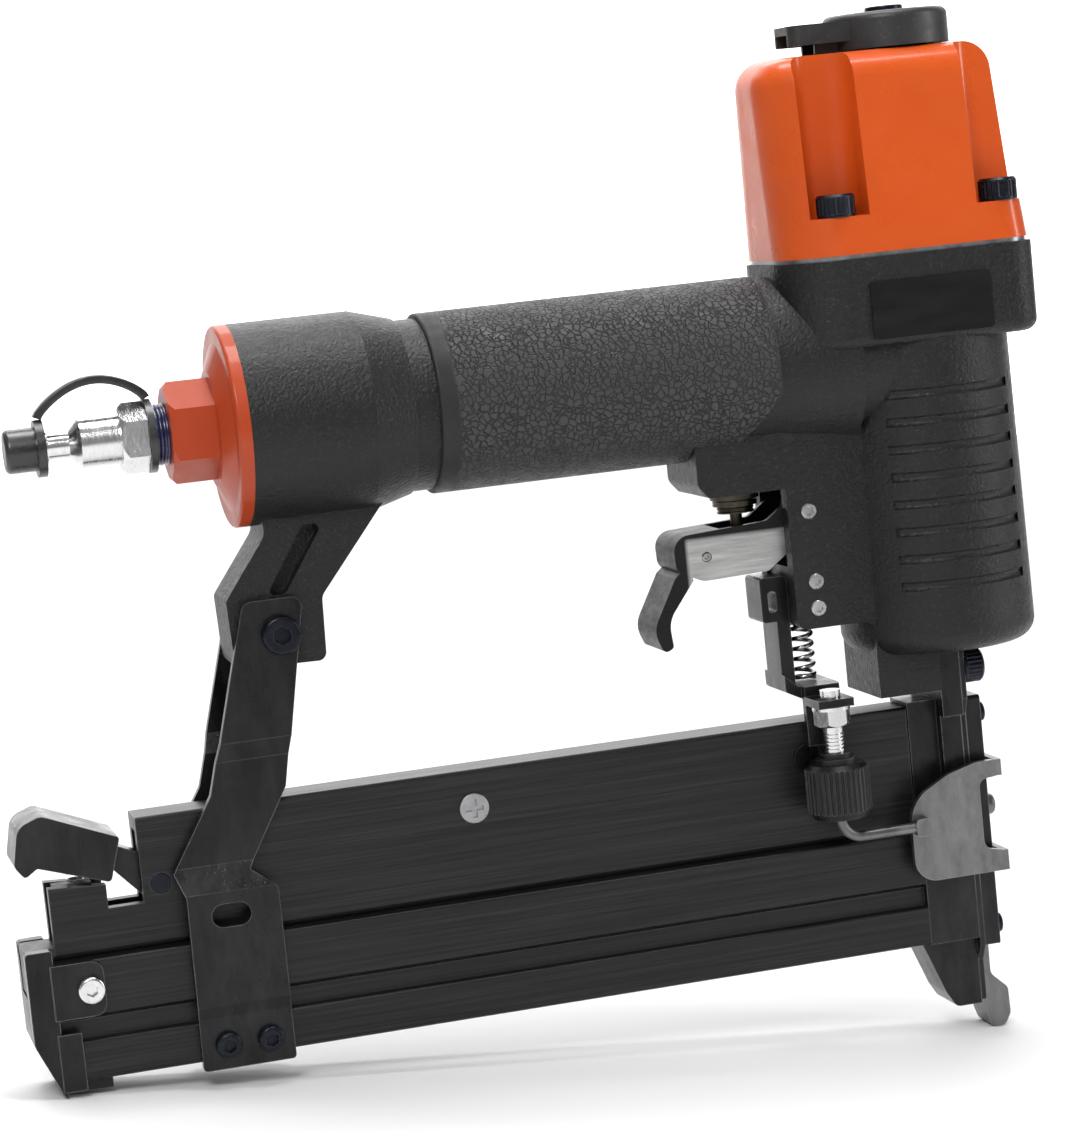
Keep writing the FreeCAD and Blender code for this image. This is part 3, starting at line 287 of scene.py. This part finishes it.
def label_finish():
    """The blank label: smooth and black, with faint wipe marks."""
    f = Finish("plate_black", (0.003, 0.003, 0.004), 0.3, specular=0.35)
    wipe = f.noise(70, 3.0, 0.5, (1, 1, 5))
    f.set("Base Color", f.mix(wipe, (0.003, 0.003, 0.004), (0.006, 0.006, 0.007)))
    f.set("Roughness", f.remap(wipe, 0.3, 0.7, 0.26, 0.36))
    f.bump(f.noise(500, 2.0), 0.00002, 0.3)
    return f


def rail_screw_finish():
    """The rear pair of screws is bright; the front pair, by the nose, is black."""
    f = plain_metal("rail_screws", (0.30, 0.30, 0.305), (0.44, 0.44, 0.45), 0.38)
    bright = f.shader.inputs["Base Color"].links[0].from_socket
    front = f.remap(f.axis("X"), -0.081, -0.079, 0.0, 1.0)
    f.set("Base Color", f.mix(front, bright, (0.02, 0.02, 0.021)))
    return f


def finishes():
    """A finish for each material slot of the record, and the sealant's."""
    made = {
        "body_coating": textured_coating(),
        "grip_rubber": moulded_grip(),
        "cap_paint": gloss_paint("cap_paint", (0.60, 0.086, 0.010), (0.54, 0.072, 0.008), 0.30),
        # The end cap's orange is a darker copy of the cap's orange paint; the darkening is painted shade.
        "end_cap_paint": gloss_paint("end_cap_paint", (0.40, 0.048, 0.009), (0.34, 0.038, 0.007), 0.42),
        "bright_plate": plain_metal("bright_plate", (0.62, 0.62, 0.63), (0.82, 0.82, 0.83), 0.16, 500,
                                    (6, 1, 1), pits=0.1),
        "thin_metal": plain_metal("thin_metal", (0.22, 0.22, 0.23), (0.42, 0.42, 0.43), 0.35),
        "soft_black": rubber("soft_black", (0.012, 0.012, 0.013), 0.34, 0.25),
        "black_plastic": rubber("black_plastic", (0.014, 0.014, 0.015), 0.42),
        "inner_plastic": rubber("inner_plastic", (0.45, 0.45, 0.41), 0.45),
        "bumper_rubber": rubber("bumper_rubber", (0.2, 0.03, 0.02), 0.5),
        # The edge colours below are painted highlights along the edges, mixed with rubbed wear.
        "black_oxide": plain_metal("black_oxide", (0.006, 0.007, 0.010), (0.015, 0.018, 0.028), 0.28, 420,
                                   edge=(0.06, 0.065, 0.085), metal=0.7),
        "black_steel": plain_metal("black_steel", (0.012, 0.012, 0.013), (0.032, 0.032, 0.034), 0.27, 160,
                                   (1, 1, 0.35), edge=(0.26, 0.26, 0.27), metal=0.75),
        "dark_steel": plain_metal("dark_steel", (0.13, 0.13, 0.133), (0.24, 0.24, 0.245), 0.36, 240,
                                  (1, 1, 0.4), edge=(0.36, 0.36, 0.36), metal=0.9),
        "bare_steel": plain_metal("bare_steel", (0.38, 0.38, 0.385), (0.60, 0.60, 0.60), 0.26),
        "spring_steel": plain_metal("spring_steel", (0.30, 0.30, 0.31), (0.58, 0.58, 0.59), 0.24),
        "trigger_finish": trigger_finish(),
        "anodised_black": brushed_black(),
        "sleeve_alloy": plain_metal("sleeve_alloy", (0.50, 0.50, 0.50), (0.66, 0.66, 0.66), 0.3),
        "valve_brass": plain_metal("valve_brass", (0.05, 0.045, 0.036), (0.12, 0.105, 0.08), 0.34),
        "plate_black": label_finish(),
        "wheel_black": plain_metal("wheel_black", (0.007, 0.007, 0.0075), (0.018, 0.018, 0.019), 0.34, 400,
                                   edge=(0.10, 0.10, 0.105), metal=0.5),
        "rail_screws": rail_screw_finish(),
        "sealant": rubber("sealant", (0.006, 0.010, 0.045), 0.28, 0.5),
    }
    return {slot: f.material for slot, f in made.items()}


FINISHES = finishes()
OWN_FINISH = {"depth_wheel": "wheel_black", "rail_screws": "rail_screws"}
for entry in frame["record"]["subparts"]:
    mesh = frame["nodes"][entry["node"]].data
    mesh.materials.clear()
    mesh.materials.append(FINISHES[OWN_FINISH.get(entry["node"], entry["material_slot"])])


# ---------------------------------------------------------------- meshes
def mesh_object(name, points, faces, finish, smooth_angle=40):
    """A smooth-shaded mesh in the scene with one finish."""
    mesh = bpy.data.meshes.new(name)
    mesh.from_pydata([tuple(p) for p in points], [], faces)
    mesh.validate()
    mesh.update()
    mesh.materials.append(FINISHES[finish])
    obj = bpy.data.objects.new(name, mesh)
    bpy.context.scene.collection.objects.link(obj)
    mesh.shade_smooth()
    mesh.set_sharp_from_angle(angle=math.radians(smooth_angle))
    return obj


def stacked(rows):
    """Faces between rows of points: each row closes on itself, and the ends are capped by a fan."""
    count = len(rows[0])
    points = [p for row in rows for p in row]
    faces = []
    for i in range(len(rows) - 1):
        for j in range(count):
            a, b = i * count + j, i * count + (j + 1) % count
            faces.append((a, b, b + count, a + count))
    faces.append(tuple(range(count))[::-1])
    faces.append(tuple(range(len(points) - count, len(points))))
    return points, faces


def turned_to(axis, seat):
    """Moves a shape built round Z so that it starts at the seat and points along the axis."""
    return Matrix.Translation(seat) @ Vector((0, 0, 1)).rotation_difference(axis).to_matrix().to_4x4()


def knurled_screw(name, seat, axis, radius, height, socket, shank, length):
    """A socket cap screw with a straight knurl, a chamfered rim, a hexagon socket and its shank."""
    count = 96
    tooth = 0.045 * radius

    def ring(size, z, knurl=0.0, hexagon=0.0):
        row = []
        for j in range(count):
            a = 2 * math.pi * j / count
            r = size - (knurl if j % 4 < 2 else 0.0)
            if hexagon:
                r = hexagon / 2 / math.cos((a % (math.pi / 3)) - math.pi / 6)
            row.append(Vector((r * math.cos(a), r * math.sin(a), z)))
        return row

    rows = [ring(shank, -length), ring(shank, -0.02 * height), ring(radius * 0.96, 0.0),
            ring(radius, 0.04 * height), ring(radius, 0.12 * height), ring(radius, 0.16 * height, tooth),
            ring(radius, 0.82 * height, tooth), ring(radius, 0.86 * height), ring(radius, 0.90 * height),
            ring(radius * 0.90, height), ring(socket * 0.66, height), ring(0, 0.96 * height, hexagon=socket),
            ring(0, 0.45 * height, hexagon=socket)]
    points, faces = stacked(rows)
    place = turned_to(axis, seat)
    screw = mesh_object(name, [place @ p for p in points], faces, "black_oxide", 25)
    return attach(screw, "frame")


def coil(name, base, axis, radius, wire, height, turns, node, finish="spring_steel"):
    """A compression spring with closed ends."""
    steps, sides = int(24 * turns), 10
    closed = 0.9 / turns
    rise = height - 2 * wire
    end_rise = min(2 * wire * 0.95, 0.3 * rise)
    rows = []
    for i in range(steps + 1):
        s = i / steps
        if s < closed:
            z = end_rise * s / closed
        elif s > 1 - closed:
            z = rise - end_rise * (1 - s) / closed
        else:
            z = end_rise + (rise - 2 * end_rise) * (s - closed) / (1 - 2 * closed)
        a = 2 * math.pi * turns * s
        out = Vector((math.cos(a), math.sin(a), 0))
        centre = out * radius + Vector((0, 0, z + wire))
        rows.append([centre + out * (wire * math.cos(t)) + Vector((0, 0, wire * math.sin(t)))
                     for t in (2 * math.pi * k / sides for k in range(sides))])
    points, faces = stacked(rows)
    place = turned_to(axis, base)
    spring = mesh_object(name, [place @ p for p in points], faces, finish)
    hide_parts(node)
    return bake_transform(spring)


def at(x, y, z):
    """A point given in millimetres."""
    return Vector((x, y, z)) * MM


def screws():
    """Knurled screws for the cylinder cap and the nose, in place of the plain ones of the CAD."""
    sides = (-1, 1)
    cap = {f"cap_screw_{i}{j}": at(x, side * CAP_SCREW_Y, CAP_SEAT_Z)
           for i, x in enumerate(CAP_SCREW_X) for j, side in enumerate(sides)}
    nose = {f"nose_screw_{j}": at(NOSE_SEAT_X, side * NOSE_SCREW_Y, NOSE_SCREW_Z)
            for j, side in enumerate(sides)}
    for node, seats, axis, sizes in (("cap_screws", cap, UP, CAP_SCREW_SIZES),
                                     ("nose_screws", nose, AHEAD, NOSE_SCREW_SIZES)):
        radius, height, socket, shank, length = (size * MM for size in sizes)
        pieces = [knurled_screw(name, seat, axis, radius, height, socket, shank, length)
                  for name, seat in seats.items()]
        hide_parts(node)


def springs():
    """Every spring of the table."""
    for name, base, axis, radius, wire, height, turns, node, fixed, bodies in SPRINGS:
        coil(name, at(*base), axis, radius * MM, wire * MM, height * MM, turns, node)


def tether():
    """The flat strap of the dust cap: one arch with rounded edges."""
    steps = 64
    half, thick, soft = 1.9 * MM, 1.0 * MM, 0.45 * MM
    rear, front = at(-213.4, 0, 176.9), at(-188.1, 0, 178.9)
    crest = 6.4 * MM
    section = []
    for cy, cz, start in ((half - soft, thick - soft, 0), (-half + soft, thick - soft, 1),
                          (-half + soft, -thick + soft, 2), (half - soft, -thick + soft, 3)):
        for k in range(5):
            a = math.pi / 2 * (start + k / 4)
            section.append((cy + soft * math.cos(a), cz + soft * math.sin(a)))

    def crossing(s):
        return rear.lerp(front, s) + Vector((0, 0, crest * math.sin(math.pi * s) ** 0.72))

    rows = []
    step = 0.5 / steps
    for i in range(steps + 1):
        s = i / steps
        along = (crossing(min(1.0, s + step)) - crossing(max(0.0, s - step))).normalized()
        outward = Vector((-along.z, 0, along.x))
        rows.append([crossing(s) + Vector((0, y, 0)) + outward * z for y, z in section])
    points, faces = stacked(rows)
    strap = mesh_object("tether_strap", points, faces, "soft_black", 60)
    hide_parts("dust_cap_tether")
    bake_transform(strap)


def torus(name, centre, axis, radius, wire, finish, body):
    """A ring of round wire that moves with one body."""
    rows = []
    for i in range(72):
        a = 2 * math.pi * i / 72
        out = Vector((math.cos(a), math.sin(a), 0))
        rows.append([out * (radius + wire * math.cos(t)) + Vector((0, 0, wire * math.sin(t)))
                     for t in (2 * math.pi * k / 12 for k in range(12))])
    points = [p for row in rows for p in row]
    faces = [(i * 12 + j, ((i + 1) % 72) * 12 + j, ((i + 1) % 72) * 12 + (j + 1) % 12, i * 12 + (j + 1) % 12)
             for i in range(72) for j in range(12)]
    place = turned_to(axis, centre)
    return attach(mesh_object(name, [place @ p for p in points], faces, finish), body)


def sealed_thread():
    """The dark sealant left between the plug's hexagon and the end cap's boss."""
    for i, x in enumerate(PLUG_THREAD_X):
        torus(f"thread_sealant_{i}", at(x, 0, 170.0), AHEAD, (6.55 + 0.12 * (i % 2)) * MM, 0.55 * MM,
              "sealant", "frame")


screws()
springs()
tether()
sealed_thread()


# ---------------------------------------------------------------- studio
def floor():
    """A pale floor through the contact tip and the rear cover's foot, where the tool stands."""
    f = Finish("studio_floor", (0.86, 0.86, 0.86), 0.7, specular=0.2)
    f.set("Base Color", f.mix(f.noise(3, 2.0), (0.80, 0.80, 0.80), (0.82, 0.82, 0.82)))
    size = 6.0
    mesh = bpy.data.meshes.new("studio_floor")
    corners = [(-size, -size, 0), (size, -size, 0), (size, size, 0), (-size, size, 0)]
    mesh.from_pydata(corners, [], [(0, 1, 2, 3)])
    mesh.materials.append(f.material)
    plane = bpy.data.objects.new("studio_floor", mesh)
    bpy.context.scene.collection.objects.link(plane)
    plane.location = (FLOOR_TOUCH_X, 0, -0.0002)
    plane.rotation_euler = (0, math.atan(FLOOR_SLOPE), 0)


def backdrop():
    """A white glowing sheet far behind the tool."""
    f = Finish("studio_backdrop", (1, 1, 1), 1.0, specular=0.0)
    f.shader.inputs["Emission Color"].default_value = (1, 1, 1, 1)
    f.shader.inputs["Emission Strength"].default_value = BACKDROP_GLOW
    mesh = bpy.data.meshes.new("studio_backdrop")
    mesh.from_pydata([(-1.0, 2.5, -1), (3.2, 2.5, -1), (3.2, 2.5, 1.6), (-1.0, 2.5, 1.6)], [], [(0, 1, 2, 3)])
    mesh.materials.append(f.material)
    sheet = bpy.data.objects.new("studio_backdrop", mesh)
    bpy.context.scene.collection.objects.link(sheet)


def area_light(name, place, target, size, power):
    """A soft rectangular light aimed at a point."""
    light = bpy.data.lights.new(name, "AREA")
    light.shape = "RECTANGLE"
    light.size, light.size_y = size
    light.energy = power
    obj = bpy.data.objects.new(name, light)
    bpy.context.scene.collection.objects.link(obj)
    obj.location = place
    obj.rotation_euler = (Vector(target) - Vector(place)).to_track_quat("-Z", "Y").to_euler()
    return obj


def studio():
    """Floor, backdrop, pale world and lights."""
    floor()
    world = bpy.data.worlds.new("studio_world")
    bpy.context.scene.world = world
    world.use_nodes = True
    world.node_tree.nodes["Background"].inputs["Color"].default_value = (1, 1, 1, 1)
    world.node_tree.nodes["Background"].inputs["Strength"].default_value = WORLD_STRENGTH
    backdrop()
    for name, place, target, size, power in LIGHTS:
        area_light(name, place, target, size, power)


def camera():
    """The camera, placed and turned to match the photograph's view."""
    data = bpy.data.cameras.new("camera")
    data.lens = LENS
    data.sensor_width = 36
    yaw, down, roll = CAMERA_YAW, CAMERA_DOWN, CAMERA_ROLL
    ahead = Vector((math.sin(yaw) * math.cos(down), math.cos(yaw) * math.cos(down), -math.sin(down)))
    level = Vector((math.cos(yaw), -math.sin(yaw), 0))
    rise = level.cross(ahead)
    right = level * math.cos(roll) - rise * math.sin(roll)
    up = level * math.sin(roll) + rise * math.cos(roll)
    turn = Matrix((right, up, -ahead)).transposed().to_4x4()
    obj = bpy.data.objects.new("camera", data)
    bpy.context.scene.collection.objects.link(obj)
    obj.matrix_world = Matrix.Translation(CAMERA_PLACE) @ turn
    bpy.context.scene.camera = obj


def plain_tones():
    """No film-like tone curve, so that the paint keeps its own colour and the floor stays white."""
    bpy.context.scene.view_settings.view_transform = "Standard"


studio()
camera()
plain_tones()
